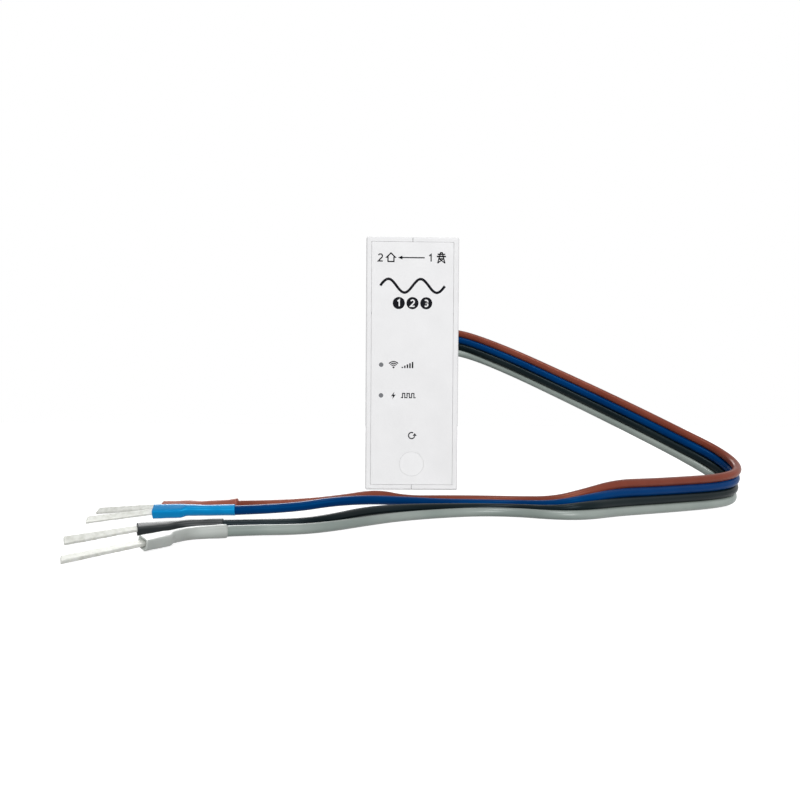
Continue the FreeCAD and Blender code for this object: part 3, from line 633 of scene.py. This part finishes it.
joint_painted_shade()

# Printing on the front plate

# A film of ink in the plane of the plate's face, in metres: how far it stands out and how deep behind
# the face it starts
FACE_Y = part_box("front_plate")[0][1]
INK_PROUD = 0.02 * MM
INK_ROOT = 0.01 * MM

# At a sharp corner the edge of a line reaches out by at most its half width divided by this
MITRE_LIMIT = 0.35


def left_of(way):
    """The direction to the left of another."""
    return Vector((-way.y, way.x))


def stroke_outline(points, width, closed):
    """Left and right edges of a line with mitred corners."""
    left, right = [], []
    last = len(points) - 1
    for n, point in enumerate(points):
        here = Vector(point)
        into = here - Vector(points[n - 1])
        out = Vector(points[(n + 1) % len(points)]) - here
        if n == 0 and not closed:
            into = out
        if n == last and not closed:
            out = into
        normal = (left_of(into.normalized()) + left_of(out.normalized())).normalized()
        spread = max(MITRE_LIMIT, normal.dot(left_of(into.normalized())))
        side = normal * width / 2 / spread
        left.append(here + side)
        right.append(here - side)
    return left, right


def print_mark(name, strokes=(), fills=(), coats=1):
    """One printed mark: strokes are (points, width, closed), fills are outlines, all in mm on the
    plate; a second coat is pale and lies on the first."""
    bm = bmesh.new()

    def corners(outline):
        """New corners of the mesh along an outline, at the root of the ink."""
        return [bm.verts.new((x * MM, FACE_Y + INK_ROOT, z * MM)) for x, z in outline]

    for points, width, closed in strokes:
        left, right = (corners(edge) for edge in stroke_outline(points, width, closed))
        runs = len(points) if closed else len(points) - 1
        for n in range(runs):
            after = (n + 1) % len(points)
            bm.faces.new((left[n], left[after], right[after], right[n]))
    for outline in fills:
        bm.faces.new(corners(outline))
    bmesh.ops.recalc_face_normals(bm, faces=bm.faces)
    made = bmesh.ops.extrude_face_region(bm, geom=list(bm.faces))
    moved = [item for item in made["geom"] if isinstance(item, bmesh.types.BMVert)]
    bmesh.ops.translate(bm, verts=moved, vec=(0, -(INK_PROUD * coats + INK_ROOT), 0))
    bmesh.ops.recalc_face_normals(bm, faces=bm.faces)
    piece = mesh_object(name, bm)
    dress(piece, "front_plate", look="ink" if coats == 1 else "front_plate")
    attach(piece, METER)


def arc(x, z, radius, start, end, count):
    """Points on an arc, in degrees from +X towards +Z."""
    points = []
    for n in range(count + 1):
        angle = math.radians(start + (end - start) * n / count)
        points.append((x + radius * math.cos(angle), z + radius * math.sin(angle)))
    return points


def disc(x, z, radius, count):
    """The outline of a full circle."""
    return arc(x, z, radius, 0, 360, count)[:-1]


def placed(drawing, x, z, size=1):
    """A drawing's points round x, z, with its unit at this size."""
    return [(x + across * size, z + up * size) for across, up in drawing]


# Widths of the printed lines, in mm
PULSE_LINE = 0.36
THIN_LINE = 0.38
ARROW_LINE = 0.42
LINE = 0.45
FIRM_LINE = 0.5
BROAD_LINE = 0.55
WAVE_LINE = 0.95

# Figures as strokes round their middle, with their height as the unit
FIGURES = {
    1: [(-0.2, 0.28), (0.08, 0.5), (0.08, -0.5)],
    2: arc(0, 0.22, 0.28, 160, -35, 10) + [(-0.3, -0.5), (0.33, -0.5)],
    3: arc(-0.02, 0.25, 0.25, 140, -75, 10) + arc(-0.02, -0.24, 0.27, 75, -140, 10),
}

# Drawings round their middle, in mm
HOUSE = [(-1.6, 0.1), (0, 1.65), (1.6, 0.1), (1.1, 0.1), (1.1, -1.5), (-1.1, -1.5), (-1.1, 0.1)]
PYLON = [
    ([(-1.35, -2.0), (-0.3, 1.95), (0.3, 1.95), (1.35, -2.0)], LINE),
    ([(-1.7, 0.55), (1.7, 0.55)], BROAD_LINE),
    ([(-1.4, 1.35), (1.4, 1.35)], FIRM_LINE),
    ([(-1.2, -1.8), (0.7, -0.35)], THIN_LINE),
    ([(1.2, -1.8), (-0.7, -0.35)], THIN_LINE),
    ([(-0.75, -0.3), (0.75, -0.3)], LINE),
]
ARROW_SHAFT = [(-4.2, 0), (4.4, 0)]
ARROW_HEAD = [(-5.5, 0), (-3.85, 0.72), (-3.85, -0.72)]
BOLT = [(0.35, 1.4), (-0.85, -0.25), (-0.12, -0.25), (-0.4, -1.4), (0.85, 0.3), (0.1, 0.3)]
RESTART_HEAD = [(0.4, -0.1), (1.9, -0.1), (1.15, 0.95)]

# Places of the drawings across the plate, in mm from its middle
TWO_X = -12.0
HOUSE_X = -8.1
ONE_X = 6.6
PYLON_X = 10.6
SIGN_X = -6.9

# Heights of the rows of marks, in mm above the foot
CURRENT_ROW = 86.3
WAVE_ROW = 75.9
PHASE_ROW = 69.5
UPPER_LAMP_ROW = 46.5
LOWER_LAMP_ROW = 35.2
RESTART_ROW = 20.3


def current_marks(z):
    """A house, a pylon and an arrow from the pylon to the house, with plain numbers before both."""
    figure_tall, figure_z = 2.6, z - 0.05
    print_mark("mark_house", strokes=[(placed(HOUSE, HOUSE_X, z), LINE, True)])
    print_mark("mark_arrow", strokes=[(placed(ARROW_SHAFT, 0, z), ARROW_LINE, False)],
               fills=[placed(ARROW_HEAD, 0, z)])
    print_mark("mark_pylon", strokes=[(placed(bar, PYLON_X, z), width, False) for bar, width in PYLON])
    print_mark("mark_two", strokes=[(placed(FIGURES[2], TWO_X, figure_z, figure_tall), LINE, False)])
    print_mark("mark_one", strokes=[(placed(FIGURES[1], ONE_X, figure_z, figure_tall), LINE, False)])


def wave_mark(z):
    """Two turns of an alternating current's wave."""
    half, tall, turns, steps = 12.0, 2.5, 2, 96
    points = []
    for n in range(steps + 1):
        share = n / steps
        points.append((-half + 2 * half * share, z + tall * math.sin(2 * math.pi * turns * share)))
    print_mark("mark_wave", strokes=[(points, WAVE_LINE, False)])


def phase_marks(z):
    """Three dark discs with the phases' numbers left pale."""
    pitch, radius, edges, tall = 5.1, 2.25, 36, 2.3
    for digit in (1, 2, 3):
        x = (digit - 2) * pitch
        print_mark("mark_disc_%d" % digit, fills=[disc(x, z, radius, edges)])
        figure = placed(FIGURES[digit], x, z, tall)
        print_mark("mark_phase_%d" % digit, strokes=[(figure, FIRM_LINE, False)], coats=2)


def radio_mark(z):
    """Three arcs that spread upwards from a dot."""
    centre, start, end, steps = z - 0.95, 42, 138, 12
    radii = (0.95, 1.6, 2.25)
    dot_z, dot_radius, dot_edges = z - 0.85, 0.36, 20
    arcs = [(arc(SIGN_X, centre, radius, start, end, steps), THIN_LINE, False) for radius in radii]
    print_mark("mark_radio", strokes=arcs, fills=[disc(SIGN_X, dot_z, dot_radius, dot_edges)])


def bars_mark(z):
    """Five bars, each one step higher than the one before."""
    count, first, pitch, wide, low, rise = 5, -3.9, 0.95, 0.55, z - 1.1, 0.46
    bars = []
    for n in range(count):
        left = first + pitch * n
        right = left + wide
        top = low + rise * (n + 1)
        bars.append([(left, low), (right, low), (right, top), (left, top)])
    print_mark("mark_bars", fills=bars)


def pulses_mark(z):
    """A line that jumps up and down in three square pulses."""
    count, start, first, wide, pitch, end = 3, -4.1, -3.5, 0.85, 1.7, 1.4
    low, high = z - 0.8, z + 0.8
    line = [(start, low)]
    for n in range(count):
        rise = first + pitch * n
        fall = rise + wide
        line += [(rise, low), (rise, high), (fall, high), (fall, low)]
    line.append((end, low))
    print_mark("mark_pulses", strokes=[(line, PULSE_LINE, False)])


def restart_mark(z):
    """A round arrow over the button."""
    radius, start, end, steps = 1.15, 60, 350, 24
    print_mark("mark_restart", strokes=[(arc(0, z, radius, start, end, steps), ARROW_LINE, False)],
               fills=[placed(RESTART_HEAD, 0, z)])


current_marks(CURRENT_ROW)
wave_mark(WAVE_ROW)
phase_marks(PHASE_ROW)
radio_mark(UPPER_LAMP_ROW)
bars_mark(UPPER_LAMP_ROW)
print_mark("mark_bolt", fills=[placed(BOLT, SIGN_X, LOWER_LAMP_ROW)])
pulses_mark(LOWER_LAMP_ROW)
restart_mark(RESTART_ROW)

# Studio

# The floor's size in metres, its gray, roughness and shine, and the paper's grain with its bumps
FLOOR_SIZE = 8
PAPER_GRAY = (0.45, 0.45, 0.45, 1)
PAPER_ROUGH = 0.9
PAPER_SHINE = 0.1
PAPER_GRAIN = (800, 4)
PAPER_BUMP = (0.00002, 0.2)

# How bright the floor looks by itself, and the white surroundings, as light and as seen
FLOOR_GLOW = 0.83
WORLD_LIGHT = 0.32
WORLD_SEEN = 1.0
WORLD_WHITE = (1, 1, 1, 1)

# Lamps: name, place and aim in metres, size in metres, power in watts, and whether it is there for
# gloss alone
LAMPS = [
    ("lamp_front", (0.6, -3.7, 1.6), (0, -0.05, 0.03), 2.2, 124.0, False),
    ("lamp_back", (-0.8, 3.0, 2.2), (0, -0.05, 0.03), 1.6, 60.0, False),
    ("lamp_gloss", (0, -0.35, 1.0), (0, -0.08, 0), 0.4, 5.0, True),
]


def ray_is_seen(nodes, links):
    """1 for camera, mirror and see-through rays, 0 for the light that falls on the object."""
    path = nodes.new("ShaderNodeLightPath")
    seen = path.outputs["Is Camera Ray"]
    for kind in ("Is Glossy Ray", "Is Transmission Ray"):
        either = nodes.new("ShaderNodeMath")
        either.operation = "MAXIMUM"
        links.new(seen, either.inputs[0])
        links.new(path.outputs[kind], either.inputs[1])
        seen = either.outputs[0]
    return seen


def add_world():
    """White surroundings that light the object less than they show."""
    world = bpy.data.worlds.new("studio")
    bpy.context.scene.world = world
    world.use_nodes = True
    nodes, links = world.node_tree.nodes, world.node_tree.links
    background = nodes["Background"]
    background.inputs["Color"].default_value = WORLD_WHITE
    strength = add_range(nodes, links, ray_is_seen(nodes, links), WORLD_LIGHT, WORLD_SEEN)
    links.new(strength, background.inputs["Strength"])


def add_floor():
    """A sheet of paper that looks white and still takes the object's shadow."""
    bpy.ops.mesh.primitive_plane_add(size=FLOOR_SIZE, location=(0, 0, 0))
    floor = bpy.context.object
    floor.name = "floor"
    mat, nodes, links, shader = new_material("floor_paper")
    shader.inputs["Base Color"].default_value = PAPER_GRAY
    shader.inputs["Roughness"].default_value = PAPER_ROUGH
    shader.inputs["Specular IOR Level"].default_value = PAPER_SHINE
    add_bump(nodes, links, shader, add_noise(nodes, links, *PAPER_GRAIN), *PAPER_BUMP)
    glow = nodes.new("ShaderNodeEmission")
    strength = add_range(nodes, links, ray_is_seen(nodes, links), 0.0, FLOOR_GLOW)
    links.new(strength, glow.inputs["Strength"])
    both = nodes.new("ShaderNodeAddShader")
    links.new(shader.outputs["BSDF"], both.inputs[0])
    links.new(glow.outputs["Emission"], both.inputs[1])
    links.new(both.outputs["Shader"], nodes["Material Output"].inputs["Surface"])
    floor.data.materials.append(mat)


def add_lamp(name, place, aim, size, power, gloss_only):
    """A round soft lamp that faces its aim."""
    data = bpy.data.lights.new(name, "AREA")
    data.shape = "DISK"
    data.size = size
    data.energy = power
    lamp = add_object(name, data)
    lamp.location = place
    lamp.rotation_euler = (Vector(aim) - Vector(place)).to_track_quat("-Z", "Y").to_euler()
    lamp.visible_diffuse = not gloss_only


add_world()
add_floor()
for row in LAMPS:
    add_lamp(*row)
bpy.context.scene.view_settings.view_transform = "Standard"
